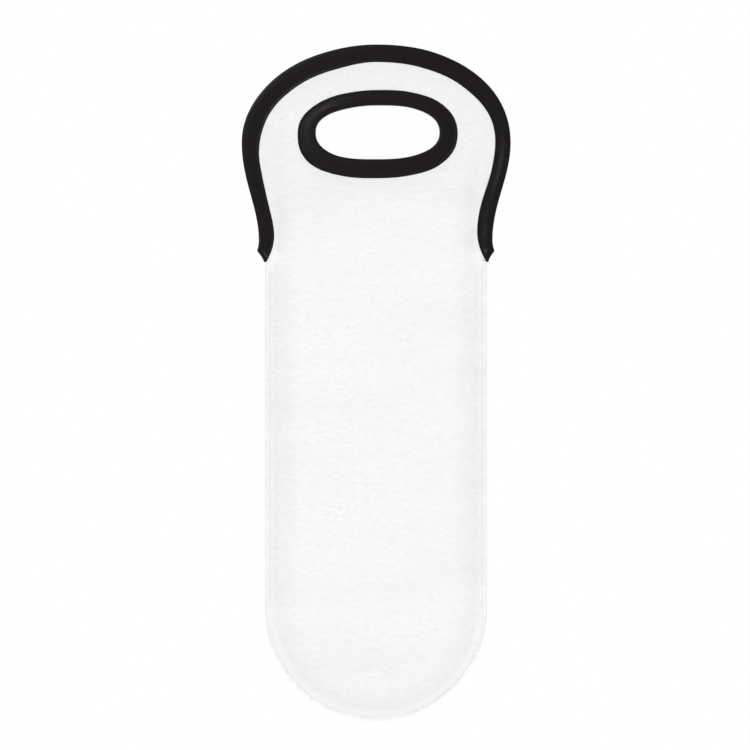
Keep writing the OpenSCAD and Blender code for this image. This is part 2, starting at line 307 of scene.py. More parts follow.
class Cut:
    """The carrier's section, outline and surface; depths are in front of the middle plane."""

    # Powers of the rounded ovals of the arch and of the hole
    arch_power, hole_power = 2.07, 2.3
    # The rim tape's inner line: its share of the band at the waist, its rise there and at its foot,
    # and its drop at the lobe
    waist_share, waist_rise, foot_rise, wide_sink = 0.93, 0.0046, 0.0003, 0.0029
    # Height of the tape over a tail's inner face, the rise over which the cut edge runs out to the
    # tail, and the most of a narrow band that lies outside the cut edge
    tail_over, edge_rise, edge_share = 0.00095, 0.0055, 0.6
    # The ripples' lengths, the width over which they fade, and their shift on the back
    ripple_w, ripple_h, ripple_fade, back_shift = 0.031, 0.043, 0.020, 2.3
    turned_steps, fold_steps, valley_steps, shoulder_steps, belly_steps = 4, 18, 6, 8, 12
    # Points along the rim's lines, across a slanted tip, and along the free edge beside the tip
    fine_steps, tip_steps, free_steps = 800, 20, 90
    # Distance over which a slope is measured
    probe = 0.0005
    # How far the hand-guided tape strays outwards, in tenths of a millimetre, from the right tail
    # to the left and clockwise round the hole from its right end
    stray_unit = 0.0001
    rim_outer_stray = (0, 0, 2, 7, 5, 0, -7, -9, 0, 6, 3)
    rim_inner_stray = (1, 1, 4, 18, 6, -1, -4, -19, -19, -12, 0, 15, -2)
    hole_edge_stray = (9, 1, -2, 3, -10, -9, -2, 4)
    hole_outer_stray = (15, 8, 1, 1, 4, 10, -4, -13, -9, -3, 2, 9)

    def __init__(self, scene, side):
        pocket, grip, tape = scene.carrier_pocket, scene.carrier_grip, scene.carrier_tape
        self.pocket, self.grip, self.tape = pocket, grip, tape
        self.side = side
        self.shift = 0.0 if side == "front" else self.back_shift
        stack = (pocket.knit_t, pocket.glue_t, pocket.foam_t, pocket.glue_t, pocket.knit_t)
        self.sink = [0, *itertools.accumulate(stack)]
        self.panel_t = self.sink[-1]
        self.body_r = pocket.body_w / 2
        self.fold_r = self.panel_t + pocket.fold_gap / 2
        self.roll_x = self.body_r - self.fold_r
        self.edge_v = 2 * self.fold_r
        rise, belly = math.sin(pocket.rise_angle), math.sin(pocket.belly_angle)
        rise_c, belly_c = math.cos(pocket.rise_angle), math.cos(pocket.belly_angle)
        self.valley_x = self.roll_x - pocket.valley_r * rise
        self.valley_v = self.edge_v + pocket.valley_r * (1 - rise_c)
        self.belly_x = self.valley_x - pocket.shoulder_r * (rise - belly)
        self.belly_v = self.valley_v + pocket.shoulder_r * (belly_c - rise_c)
        self.belly_r = self.belly_x / belly
        self.crown_v = self.belly_v + self.belly_r * (1 - belly_c)
        self.top_z = pocket.top_z
        self.centre_z = pocket.bottom_z + self.body_r
        self.tail_v = tape.tail_gap / 2 + self.tail_over + self.panel_t
        self.section = self.half_section()
        first = int(np.argmax(self.section[:, 0]))
        self.outer_from = first
        self.arc_x = self.section[first:, 0][::-1]
        self.arc_run = self.section[first:, 2][::-1]

    def half_section(self):
        """Right half of the pocket's outer face: x, depth and distance from the middle."""
        p = self.pocket
        x = np.linspace(self.roll_x - p.allowance, self.roll_x, self.turned_steps + 1)[:-1]
        parts = [(x, x * 0)]
        a = np.radians(np.linspace(-90, 90, self.fold_steps + 1))
        parts.append((self.roll_x + self.fold_r * np.cos(a), self.fold_r * (1 + np.sin(a))))
        a = p.rise_angle * np.linspace(0, 1, self.valley_steps + 1)[1:]
        v = self.edge_v + p.valley_r * (1 - np.cos(a))
        parts.append((self.roll_x - p.valley_r * np.sin(a), v))
        a = np.linspace(p.rise_angle, p.belly_angle, self.shoulder_steps + 1)[1:]
        v = self.belly_v - p.shoulder_r * (math.cos(p.belly_angle) - np.cos(a))
        parts.append((self.belly_x + p.shoulder_r * (np.sin(a) - math.sin(p.belly_angle)), v))
        a = p.belly_angle * (1 - np.linspace(0, 1, self.belly_steps + 1)[1:])
        parts.append((self.belly_r * np.sin(a), self.crown_v - self.belly_r * (1 - np.cos(a))))
        line = np.vstack([np.column_stack(part) for part in parts])
        run = run_length(line)
        return np.column_stack([line, run[-1] - run])

    def pocket_depth(self, x):
        """Depth of the pocket's outer face at x."""
        p, a = self.pocket, np.abs(x)
        rise = np.sqrt(self.belly_r**2 - np.minimum(a, self.belly_x) ** 2)
        belly = self.crown_v - self.belly_r + rise
        off = np.clip(a - self.belly_x, 0, self.valley_x - self.belly_x)
        rise = np.sqrt(p.shoulder_r**2 - (off + p.shoulder_r * math.sin(p.belly_angle)) ** 2)
        shoulder = self.belly_v + rise - p.shoulder_r * math.cos(p.belly_angle)
        dip = np.clip(self.roll_x - a, 0, self.roll_x - self.valley_x)
        valley = self.edge_v + p.valley_r - np.sqrt(p.valley_r**2 - dip**2)
        return np.where(a <= self.belly_x, belly, np.where(a <= self.valley_x, shoulder, valley))

    def ripple(self, x, z):
        """Faint ripples that a sewn panel keeps, fading towards the rolled edge."""
        u, w = x / self.ripple_w + self.shift, z / self.ripple_h - self.shift
        wave = np.sin(w + 0.8 * np.sin(u)) + 0.7 * np.sin(1.9 * w - 1.3 * u)
        wave = wave + 0.6 * np.sin(0.7 * w + 2.1 * u + 1)
        spread = np.hypot(x, np.minimum(z - self.centre_z, 0))
        return self.pocket.ripple * wave * ease((self.roll_x - spread) / self.ripple_fade)

    def edge_x(self, z):
        """Reach of a grip's cut edge at the levels of its tail."""
        tail_x = self.grip.waist_x - self.tape.edge_inset + self.tape.tail_flare / 2
        return lerp(self.body_r, tail_x, np.clip((z - self.top_z) / self.edge_rise, 0, 1))

    def grip_depth(self, x, z):
        """Depth of a grip's outer face: the pocket's section at its foot, nearly flat on top."""
        g, a = self.grip, np.abs(x)
        rise, pocket = z - self.top_z, self.pocket_depth(a)
        share = np.clip((a - self.roll_x) / (self.edge_x(z) - self.roll_x), 0, 1)
        rolled = np.where(a > self.roll_x, self.fold_r * (1 + np.sqrt(1 - share**2)), pocket)
        tuck = (self.edge_v - self.tail_v) * ease((a - self.roll_x + g.tuck_run) / g.tuck_run)
        foot = lerp(rolled, pocket - tuck, ease(rise / g.open_len))
        foot = np.maximum(foot, lerp(self.fold_r, self.tail_v, ease(rise / g.corner_len)))
        top = g.mouth_gap / 2 + self.panel_t + g.bow * (1 - (x / g.wide_x) ** 2)
        return lerp(foot, top, ease(rise / g.flatten_len)) + self.ripple(x, z)

    def face(self, x, z):
        """Points of a grip's outer face."""
        return np.stack([x, self.grip_depth(x, z), z], axis=-1)

    def lifted(self, plan, height):
        """Points at a height over the middle of the grip's panel, and the panel's normals there."""
        x, z = plan[..., 0], plan[..., 1]
        dx = self.grip_depth(x + self.probe, z) - self.grip_depth(x - self.probe, z)
        dz = self.grip_depth(x, z + self.probe) - self.grip_depth(x, z - self.probe)
        n = unit(np.stack([-dx, np.full_like(dx, 2 * self.probe), -dz], axis=-1))
        return self.face(x, z) + (height - self.panel_t / 2)[..., None] * n, n

    def flat_place(self, x, z):
        """Place of a grip's point on the flat cut panel."""
        a = np.abs(x)
        arc = np.interp(a, self.arc_x, self.arc_run) + np.maximum(a - self.body_r, 0)
        flat_x = lerp(arc, a, ease((z - self.top_z) / self.grip.flatten_len))
        return np.stack([np.sign(x) * flat_x, z], axis=-1)

    def rim_lines(self, count):
        """Outer and inner line of the rim tape, right tail to left; its ends slant in."""
        g, t = self.grip, self.tape
        u = np.linspace(0, 1, 200)
        swell = (1 - np.cos(math.pi * u)) / 2

        def over(flare, foot_z, waist_x, waist_z, wide_x, wide_z, top_z):
            tail = (waist_x + flare * (1 - u) ** 2, lerp(foot_z, waist_z, u))
            lobe = (lerp(waist_x, wide_x, swell), lerp(waist_z, wide_z, u))
            arch = bow(self.arch_power, wide_x, top_z - wide_z, u * math.pi / 2) + [0, wide_z]
            line = np.vstack([np.column_stack(tail)[:-1], np.column_stack(lobe)[:-1], arch])
            return np.vstack([line, line[-2::-1] * [-1, 1]])

        foot_z, waist_x = self.top_z + t.tail_rise, g.waist_x - self.waist_share * t.band_w
        outer = over(t.tail_flare, foot_z, g.waist_x, g.waist_z, g.wide_x, g.wide_z, g.top_z)
        flare, foot_z = self.body_r - t.tip_in - waist_x, self.top_z + self.foot_rise
        waist_z, wide_z = g.waist_z + self.waist_rise, g.wide_z - self.wide_sink
        wide_x, top_z = g.wide_x - t.band_w, g.top_z - t.band_w
        inner = over(flare, foot_z, waist_x, waist_z, wide_x, wide_z, top_z)
        fine, end, free = self.fine_steps, self.tip_steps, self.free_steps
        outer, inner = respaced([outer, inner], (outer + inner) / 2, fine)
        outer = beside(outer, knotted(self.rim_outer_stray, fine) * self.stray_unit)
        inner = beside(inner, knotted(self.rim_inner_stray, fine) * self.stray_unit)
        share = np.arange(end)[:, None] / end
        right = lerp(inner[0] + [t.tip_w, 0], outer[0], share)
        left = lerp(inner[-1] - [t.tip_w, 0], outer[-1], share)
        outer = np.vstack([right, outer, left[::-1]])
        last = len(outer) - 1
        stations = [0, end + free, last - end - free, last]
        at = np.interp(np.arange(last + 1), stations, [0, free, fine - 1 - free, fine - 1])
        inner = sampled(inner, np.arange(fine), at)
        return respaced([outer, inner], (outer + inner) / 2, count)

    def hole_lines(self, count):
        """Opening's edge and outer line of the hole tape, clockwise."""
        g, t = self.grip, self.tape
        half_w, half_h = g.hole_w / 2, g.hole_h / 2
        angle = -np.linspace(0, 2 * math.pi, 1441)[:-1]
        edge = bow(self.hole_power, half_w, half_h, angle)
        outer = bow(self.hole_power, half_w + t.band_w, half_h + t.band_w, angle) - [0, t.hole_drop]
        lines = respaced([edge, outer], (edge + outer) / 2, count, closed=True)
        strays = (self.hole_edge_stray, self.hole_outer_stray)
        return [
            beside(line, -knotted(stray, count, closed=True) * self.stray_unit, closed=True)
            for line, stray in zip(lines, strays)
        ]

    def hole_edge(self, plan):
        """Cut edge of the panel under the hole tape, towards each point of the plan."""
        line = across(*self.hole_lines(360), self.tape.edge_inset)
        angle, towards = (np.arctan2(points[:, 1], points[:, 0]) for points in (line, plan))
        order = np.argsort(angle)
        rising = angle[order]
        ends = [np.interp(towards, rising, at[order], period=2 * math.pi) for at in line.T]
        return np.column_stack(ends)


def across(start, end, distance):
    """Points at a distance from each start towards its end."""
    return start + unit(end - start) * distance


def cuts(context):
    """The cuts of the front and of the back."""
    return [Cut(context.scene, side) for side in ("front", "back")]


def panel_face(cut, rows=44, fan=72, rim=150, rings=20):
    """One panel's outer face as one cut sheet: points, places on the flat cut, and faces."""
    section, half = cut.section, len(cut.section) - 1
    points, flat, faces = [], [], []

    def put(xyz, place):
        first = len(points)
        points.extend(xyz)
        flat.extend(place)
        return np.arange(first, len(points))

    x, v, run = np.vstack([section, section[-2::-1] * [-1, 1, -1]]).T
    shows = np.concatenate([np.arange(half + 1), np.arange(half)[::-1]]) >= cut.outer_from
    body = []
    for z in np.linspace(cut.centre_z, cut.top_z, rows + 1):
        depth = v + np.where(shows, cut.ripple(x, z), 0)
        level = np.full_like(x, z)
        body.append(put(np.column_stack([x, depth, level]), np.column_stack([run, level])))
    for low, high in zip(body, body[1:]):
        faces += [(low[c], high[c], high[c + 1], low[c + 1]) for c in range(2 * half)]

    spokes = [body[0][:half]]
    for angle in np.linspace(0, math.pi, fan + 1)[1:-1]:
        c, s = math.cos(angle), math.sin(angle)
        x_out, v_out, run_out = section[:-1].T
        sx, sz = x_out * c, cut.centre_z - x_out * s
        depth = v_out + np.where(shows[:half], cut.ripple(sx, sz), 0)
        place = np.column_stack([run_out * c, cut.centre_z - run_out * s])
        spokes.append(put(np.column_stack([sx, depth, sz]), place))
    spokes.append(body[0][:half:-1])
    pole = body[0][half]
    for a, b in zip(spokes, spokes[1:]):
        faces += [(a[h], a[h + 1], b[h + 1], b[h]) for h in range(half - 1)]
        faces.append((a[-1], pole, b[-1]))

    outer, inner = cut.rim_lines(rim)
    band = np.linalg.norm(inner - outer, axis=1, keepdims=True)
    edge = across(outer, inner, np.minimum(cut.tape.edge_inset, cut.edge_share * band))[1:-1]
    columns = np.arange(2 * half - cut.outer_from, cut.outer_from - 1, -1)
    foot = np.column_stack([x[columns], x[columns] * 0 + cut.top_z])
    plan = np.vstack([edge, foot])
    start = cut.hole_edge(plan)
    grid = []
    for share in np.linspace(0, 1, rings + 1):
        loose = len(plan) if share < 1 else len(edge)
        ring = lerp(start, plan, share)[:loose].T
        grid.append(put(cut.face(*ring), cut.flat_place(*ring)))
    grid[-1] = np.concatenate([grid[-1], body[-1][columns]])
    beyond = np.roll(np.arange(len(plan)), -1)
    for low, high in zip(grid, grid[1:]):
        faces += [(low[k], high[k], high[j], low[j]) for k, j in enumerate(beyond)]
    return np.array(points), np.array(flat), [tuple(int(i) for i in f) for f in faces]


def point_normals(points, faces):
    """Outward normal at each point, weighted by the faces' areas."""
    total = np.zeros_like(points)
    quads = np.array([f if len(f) == 4 else (*f, f[-1]) for f in faces])
    a, b, c, d = (points[quads[:, i]] for i in range(4))
    n = np.cross(c - a, d - b)
    triangles = quads[:, 2] == quads[:, 3]
    n[triangles] = np.cross(b - a, c - a)[triangles]
    for i in range(4):
        use = slice(None) if i < 3 else ~triangles
        np.add.at(total, quads[use, i], n[use])
    return unit(total)


def layer(points, normals, flat, faces, near, far):
    """Closed sheet between two depths under a face, with walls along its cut edges."""
    count = len(points)
    xyz = np.vstack([points - near * normals, points - far * normals])
    edges = dict.fromkeys(edge for f in faces for edge in zip(f, f[1:] + f[:1]))
    walls = [(b, a, a + count, b + count) for a, b in edges if (b, a) not in edges]
    under = [tuple(i + count for i in reversed(f)) for f in faces]
    return xyz, np.vstack([flat, flat]), faces + under + walls


def placed(name, data):
    """Object that holds the data, linked to the scene."""
    item = bpy.data.objects.new(name, data)
    bpy.context.scene.collection.objects.link(item)
    return item


def only(piece):
    """Select one object alone and make it active."""
    bpy.ops.object.select_all(action="DESELECT")
    piece.select_set(True)
    bpy.context.view_layer.objects.active = piece


def new_piece(name, xyz, faces, side):
    """Mesh object in its own place, mirrored for the back."""
    xyz = np.array(xyz, float)
    if side == "front":
        xyz[:, 1] *= -1
    else:
        faces = [f[::-1] for f in faces]
    mesh = bpy.data.meshes.new(name)
    mesh.from_pydata(xyz.tolist(), [], faces)
    mesh.update()
    piece = placed(name, mesh)
    only(piece)
    bpy.ops.object.shade_smooth_by_angle(angle=SMOOTH_ANGLE)
    return piece


def set_map(piece, map_name, places):
    """Give a piece a map from the place of each face corner, in metres."""
    spread = (places / MAP_SPAN).astype(np.float32).ravel()
    piece.data.uv_layers.new(name=map_name).data.foreach_set("uv", spread)


def bend_with_grip(piece):
    """Bake a piece's place into its mesh."""
    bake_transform(piece)


def go_with_grip(piece, place, cut):
    """Bake a piece at the rim into its mesh, and let a piece at the hole ride on its grip's body.
    """
    if place == "rim":
        bend_with_grip(piece)
    else:
        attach(piece, f"{cut.side}_grip")


def by(operation, turned=False):
    """Method of a wire that adds a Math node."""
    return lambda wire, other=None: wire.maths(operation, other, turned)


class Wire:
    """A value in a material, ready for sums and products."""

    def __init__(self, finish, socket):
        self.finish, self.socket = finish, socket

    def maths(self, operation, other=None, turned=False):
        values = {0: self}
        if other is not None:
            values = {0: other, 1: self} if turned else {0: self, 1: other}
        return self.finish.node("ShaderNodeMath", {"operation": operation}, values)[0]

    __add__ = __radd__ = by("ADD")
    __sub__, __rsub__ = by("SUBTRACT"), by("SUBTRACT", turned=True)
    __mul__ = __rmul__ = by("MULTIPLY")
    __truediv__, __abs__ = by("DIVIDE"), by("ABSOLUTE")
    sin, fraction = by("SINE"), by("FRACT")

    def above(self, edge, soft):
        """0 below an edge and 1 above it, with a soft step."""
        settings = {"interpolation_type": "SMOOTHSTEP"}
        values = {"Value": self, "From Min": edge - soft, "From Max": edge + soft}
        return self.finish.node("ShaderNodeMapRange", settings, values)[0]


class Outs:
    """The outputs of a node, by number or by name."""

    def __init__(self, finish, node):
        self.finish, self.node = finish, node

    def __getitem__(self, key):
        return Wire(self.finish, self.node.outputs[key])


class Finish:
    """A material made of nodes."""

    def __init__(self, name):
        self.material = bpy.data.materials.new(name)
        self.material.use_nodes = True
        self.tree = self.material.node_tree
        self.tree.nodes.clear()
        self.shader = self.node("ShaderNodeBsdfPrincipled")
        self.node("ShaderNodeOutputMaterial", {}, {"Surface": self.shader["BSDF"]})

    def node(self, kind, settings=None, values=None):
        """Node of that type, with its settings first and then its sockets' values or links."""
        made = self.tree.nodes.new(kind)
        for key, value in (settings or {}).items():
            setattr(made, key, value)
        outs = Outs(self, made)
        self.feed(outs, values or {})
        return outs

    def feed(self, outs, values):
        """Set or link sockets of a node."""
        for key, value in values.items():
            if isinstance(value, Wire):
                self.tree.links.new(value.socket, outs.node.inputs[key])
            else:
                outs.node.inputs[key].default_value = value

    def surface(self, **values):
        """Material whose shader has those values or links; two underscores are a space."""
        self.feed(self.shader, {key.replace("__", " "): value for key, value in values.items()})
        return self.material

    def bump(self, height, distance, strength=1.0, under=None):
        """Normal raised by a height, in metres at 1."""
        values = {"Height": height, "Distance": distance, "Strength": strength}
        if under is not None:
            values["Normal"] = under
        return self.node("ShaderNodeBump", {}, values)["Normal"]

    def stretched(self, place, factors):
        """A place with a factor on each of its axes."""
        settings = {"operation": "MULTIPLY"}
        return self.node("ShaderNodeVectorMath", settings, {0: place, 1: factors})[0]

    def map_place(self, map_name):
        """Place on the piece's own map, in metres, as two values and one vector."""
        place = self.node("ShaderNodeUVMap", {"uv_map": map_name})["UV"]
        place = self.stretched(place, (MAP_SPAN, MAP_SPAN, 0))
        parts = self.node("ShaderNodeSeparateXYZ", {}, {0: place})
        return parts["X"], parts["Y"], place

    def noise(self, place, grain, detail=2.0, roughness=0.5, warp=0.0):
        """Noise whose grains have those sizes along the place's axes."""
        place = self.stretched(place, tuple(1 / size for size in grain))
        values = {"Vector": place, "Scale": 1.0, "Detail": detail}
        values |= {"Roughness": roughness, "Distortion": warp}
        return self.node("ShaderNodeTexNoise", {"noise_dimensions": "3D"}, values)[0]

    def tinted(self, colour_value, factor):
        """A colour made lighter or darker by a factor."""
        values = {0: tuple(colour_value), "Scale": factor}
        return self.node("ShaderNodeVectorMath", {"operation": "SCALE"}, values)[0]

    def object_place(self):
        """Place in the frame, in metres."""
        return self.node("ShaderNodeTexCoord")["Object"]


def knit_finish(name, colour_value, looks, mottle, cut):
    """Fine jersey: columns of small loops, wisps of yarn, and painted shade at its head and beside
    a seam.
    """
    finish = Finish(name)
    u, v, place = finish.map_place(FLAT_MAP)
    leg = abs((u / looks.wale).fraction() - 0.5)
    loops = (v / looks.course * (2 * math.pi) + leg * (2 * math.pi * LOOP_SLANT)).sin()
    knit = (1 - leg * leg * 4) * (loops * 0.3 + 0.7)
    wisps = finish.noise(place, (0.0046, 0.0020, 1), warp=0.8)
    crinkles = finish.noise(place, (0.0034, 0.0016, 1), warp=1.2)
    clouds = finish.noise(place, (0.070, 0.021, 1), detail=1.0, roughness=0.4)
    fuzz = finish.noise(place, (0.0007, 0.0005, 1), detail=1.0)
    flecks = crinkles.above(0.67, 0.10) * clouds.above(0.5, 0.2)
    tone = 1 + (wisps - 0.5) * mottle + (clouds - 0.5) * (0.55 * mottle)
    tone = tone + (knit - 0.5) * (0.12 * mottle) - flecks * (0.60 * mottle)
    # Painted shade: the knit is darker towards the grip's head, between the rim and the hole
    tone = tone - v.above(-0.050, 0.020) * HEAD_PAINTED_SHADE

    # The roll's crest lies at this distance from the middle of the flat cut
    crest = float(np.interp(cut.roll_x, cut.arc_x, cut.arc_run))
    reach = abs(u)
    # Painted shade: the knit is darker in the valley right beside the roll and more widely beside
    # it, on the straight sides, where the panel slopes away from the light
    near, wide = reach.above(crest - 0.0035, 0.0020), reach.above(crest - 0.014, 0.005)
    painted_seam_shade = (near * NEAR_PAINTED_SHADE + wide * WIDE_PAINTED_SHADE) * (1 - reach.above(crest + 0.0015, 0.0008))
    straight = v.above(cut.centre_z, 0.020) * (1 - v.above(cut.top_z - 0.004, 0.004))
    # Painted shade on the roll's outer turn into the seam's groove, fading out at the bottom's
    # middle and stopping at the seam's top
    below = (v - cut.centre_z).maths("MINIMUM", 0.0)
    around = (u * u + below * below).maths("SQRT")
    groove = around.above(crest + 0.0040, 0.0008) * reach.above(0.020, 0.020)
    tone = tone - painted_seam_shade * straight - groove * (1 - v.above(cut.top_z, 0.002)) * GROOVE_PAINTED_SHADE
    soft = finish.bump(wisps - flecks * 0.3, 0.00030, 0.6)
    return finish.surface(
        Base__Color=finish.tinted(colour_value, tone),
        Roughness=0.86 + (fuzz - 0.5) * 0.12,
        Specular__IOR__Level=0.25,
        Sheen__Weight=0.05,
        Sheen__Roughness=0.45,
        Normal=finish.bump(knit + fuzz * 0.35, 0.00011, 0.8, soft),
    )


def foam_finish(looks):
    """Cut face of closed-cell foam."""
    finish = Finish("foam_rubber")
    place = finish.object_place()
    values = {"Vector": place, "Scale": CELLS_PER_METRE}
    cells = finish.node("ShaderNodeTexVoronoi", {"feature": "F1"}, values)
    grain = finish.noise(place, (0.0012, 0.0012, 0.0012))
    return finish.surface(
        Base__Color=finish.tinted(looks.foam, 0.75 + grain * 0.5),
        Roughness=0.8 + (grain - 0.5) * 0.15,
        Specular__IOR__Level=0.3,
        Normal=finish.bump(cells["Distance"], 0.00015, 0.8),
    )


def tape_finish(looks):
    """Satin binding tape: fine ribs across its run, a close weave and slubs along it."""
    finish = Finish("satin_tape")
    u, v, place = finish.map_place(TAPE_MAP)
    ribs = (u * (2 * math.pi / looks.rib)).sin()
    weft = (v * (2 * math.pi / (looks.rib * 0.8))).sin()
    weave = (ribs * weft) * 0.5 + 0.5
    slub = finish.noise(place, (0.0060, 0.0007, 1))
    grain = finish.noise(place, (0.0009, 0.0009, 1))
    tone = 1 + (slub - 0.5) * 0.5 + (grain - 0.5) * 0.4 + (weave - 0.5) * 0.25
    return finish.surface(
        Base__Color=finish.tinted(looks.tape, tone),
        Roughness=0.31 + (grain - 0.5) * 0.12 + (slub - 0.5) * 0.06,
        Specular__IOR__Level=0.08,
        Normal=finish.bump(weave + grain * 0.3, 0.00002, 0.6),
    )


def thread_finish(name, colour_value):
    """Twisted sewing thread."""
    finish = Finish(name)
    place = finish.object_place()
    parts = finish.node("ShaderNodeSeparateXYZ", {}, {0: place})
    twist = ((parts["X"] + parts["Z"] + parts["Y"]) * (2 * math.pi / TWIST_PITCH)).sin()
    grain = finish.noise(place, (0.0005, 0.0005, 0.0005))
    return finish.surface(
        Base__Color=finish.tinted(colour_value, 0.85 + grain * 0.3),
        Roughness=0.55 + (grain - 0.5) * 0.2,
        Specular__IOR__Level=0.2,
        Normal=finish.bump(twist * 0.5 + 0.5, 0.00006, 0.7),
    )


def floor_finish(settings):
    """Pale floor that fades into the white room."""
    finish = Finish("pale_floor")
    parts = finish.node("ShaderNodeSeparateXYZ", {}, {0: finish.object_place()})
    far = parts["X"] * parts["X"] + parts["Y"] * parts["Y"]
    inner, outer = ((share * settings.floor_r) ** 2 for share in FLOOR_FADE)
    return finish.surface(
        Base__Color=(*settings.floor, 1),
        Roughness=0.9,
        Specular__IOR__Level=0.2,
        Alpha=1 - far.above((inner + outer) / 2, (outer - inner) / 2),
    )


def dress(piece, material, replaces=()):
    """Give a piece its material, and hide the solids that it stands for."""
    piece.data.materials.clear()
    piece.data.materials.append(material)
    if replaces:
        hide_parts(*replaces)


class CARRIER_OT_panels(Operator):
    """Cut both panels as one sheet each: white cover, foam and black lining"""

    bl_idname = "carrier.panels"
    bl_label = "Panels"

    def execute(self, context):
        looks = context.scene.carrier_looks
        front, back = cuts(context)
        cover = knit_finish("cover_jersey", looks.cover, looks, COVER_MOTTLE, front)
        lining = knit_finish("lining_jersey", looks.lining, looks, LINING_MOTTLE, front)
        kinds = (
            ("cover", "cover", cover, "white_knit", 0),
            ("foam", "core", foam_finish(looks), "neoprene_foam", 2),
            ("lining", "lining", lining, "black_knit", 4),
        )
        for cut in (front, back):
            points, flat, faces = panel_face(cut)
            normals = point_normals(points * [1, -1, 1], faces) * [1, -1, 1]
            for kind, node, material, slot, first in kinds:
                near, far = cut.sink[first], cut.sink[first + 1]
                xyz, places, shell = layer(points, normals, flat, faces, near, far)
                piece = new_piece(f"{cut.side}_panel_{kind}", xyz, shell, cut.side)
                corners = np.zeros(len(piece.data.loops), int)
                piece.data.loops.foreach_get("vertex_index", corners)
                set_map(piece, FLAT_MAP, places[corners])
                dress(piece, material, (f"{cut.side}_{node}", f"{cut.side}_grip_{node}"))
                bend_with_grip(piece)
        return {"FINISHED"}


def smoothed(points):
    """Open line with its corners cut, ends kept."""
    points = np.array(points, float)
    a, b = points[:-1], points[1:]
    cut = np.stack([0.75 * a + 0.25 * b, 0.25 * a + 0.75 * b], axis=1).reshape(-1, points.shape[1])
    return np.vstack([points[:1], cut[1:-1], points[-1:]])


def tape_profile(tape, band, crown):
    """Folded tape at one section: distance from the nose and height, outside then inside."""
    h, t = tape.half_t, tape.thickness
    seat, full = SEAT + t, max(band, FULL_BAND)
    hem = [*HEM[:-1], (tape.stitch_in, STITCH_DIP), HEM[-1]]
    line = [(full - inset, seat + rise) for inset, rise in hem]
    line += [(share * full, lerp(seat, h, rise) + fuller * crown) for share, rise, fuller in SLOPE]
    line += [(inset, share * h + fuller * crown) for inset, share, fuller in NOSE]
    front = smoothed(line) * [band / full, 1]
    outer = np.vstack([front, front[-2::-1] * [1, -1]])
    step = unit(np.gradient(outer, axis=0))
    inner = outer + t * np.column_stack([-step[:, 1], step[:, 0]])
    inner[:, 0] = np.minimum(inner[:, 0], band)
    return outer, inner


def tape_piece(name, cut, start, end, closed, crown):
    """Tape folded over an edge, from its nose line to its free edges, and its flat size."""
    plans, sections, runs = [], [], []
    bands = np.linalg.norm(end - start, axis=1)
    run = run_length((start + end) / 2, closed)
    for k, band in enumerate(bands):
        outer, inner = tape_profile(cut.tape, band, crown[k])
        loop = np.vstack([outer, inner[::-1]])
        plan = across(start[k], end[k], loop[:, :1])
        plans.append(np.column_stack([plan[:, 0], plan[:, 0] * 0, plan[:, 1]]))
        sections.append(cut.lifted(plan, loop[:, 1])[0] - plans[-1])
        over = run_length(outer)
        round_tape = np.concatenate([over, over[::-1]])
        runs.append(np.column_stack([np.full(len(loop), run[k]), round_tape]))
    sections = np.array(sections)
    n, m = sections.shape[:2]
    if closed:
        runs.append(np.column_stack([np.full(m, run[-1]), runs[0][:, 1]]))
    else:
        over = runs[n // 2][:, 1:]
        inside = ease(2 * over / over.max() - 0.3)
        near_end = 1 - ease(np.minimum(run, run[-1] - run) / END_REACH)
        near_end = 0.5 * near_end[1:-1, None, None] * inside
        for _ in range(END_ROUNDS):
            sections[1:-1] = lerp(sections[1:-1], (sections[2:] + sections[:-2]) / 2, near_end)
    xyz = (sections + np.array(plans)).reshape(-1, 3)
    xyz[:, 1] = np.maximum(xyz[:, 1], LEAST_DEPTH)
    faces, places = [], []
    for i in range(n if closed else n - 1):
        k = (i + 1) % n
        for j in range(m):
            jj = (j + 1) % m
            faces.append((i * m + j, i * m + jj, k * m + jj, k * m + j))
            places.append((runs[i][j], runs[i][jj], runs[i + 1][jj], runs[i + 1][j]))
    if not closed:
        last = (n - 1) * m
        for j in range(m // 2 - 1):
            quad = (j, j + 1, m - 2 - j, m - 1 - j)
            faces += [quad[::-1], tuple(last + i for i in quad)]
            places += [tuple(runs[0][i] for i in quad[::-1]), tuple(runs[-1][i] for i in quad)]
    piece = new_piece(name, xyz, faces, cut.side)
    way = 1 if cut.side == "front" else -1
    set_map(piece, TAPE_MAP, np.array([corners[::way] for corners in places]).reshape(-1, 2))
    width = run_length(tape_profile(cut.tape, float(np.median(bands)), 0)[0])[-1]
    return piece, (float(width), float(run[-1]))


def crown_along(run, places):
    """Height of the tape's crown along its run: low, and fuller at some places."""
    crown = np.full(len(run), LOW_CROWN)
    for at, reach, height in places:
        crown += height * np.exp(-(((run - at) / reach) ** 2))
    return crown


def bind(place, cut, lines, crown):
    """Fold a tape over the rim or the hole of one grip."""
    piece, flat = tape_piece(f"{cut.side}_{place}_tape", cut, *lines, place == "hole", crown)
    dress(piece, bpy.data.materials["satin_tape"], (f"{cut.side}_{place}_binding",))
    go_with_grip(piece, place, cut)


class CARRIER_OT_rim_tapes(Operator):
    """Fold the binding tape over the rim of each grip, tail to tail"""

    bl_idname = "carrier.rim_tapes"
    bl_label = "Rim tapes"

    def execute(self, context):
        tape_finish(context.scene.carrier_looks)
        for cut in cuts(context):
            lines = cut.rim_lines(cut.tape.stations)
            bind("rim", cut, lines, crown_along(run_length(sum(lines) / 2), RIM_CROWN))
        return {"FINISHED"}


class CARRIER_OT_hole_tapes(Operator):
    """Fold the binding tape over the edge of each hand hole"""

    bl_idname = "carrier.hole_tapes"
    bl_label = "Hole tapes"

    def execute(self, context):
        for cut in cuts(context):
            lines = cut.hole_lines(HOLE_SECTIONS)
            run = run_length(sum(lines) / 2, closed=True)
            fuller = [(share * run[-1], reach, height) for share, reach, height in HOLE_CROWN]
            bind("hole", cut, lines, crown_along(run[:-1], fuller))
        return {"FINISHED"}


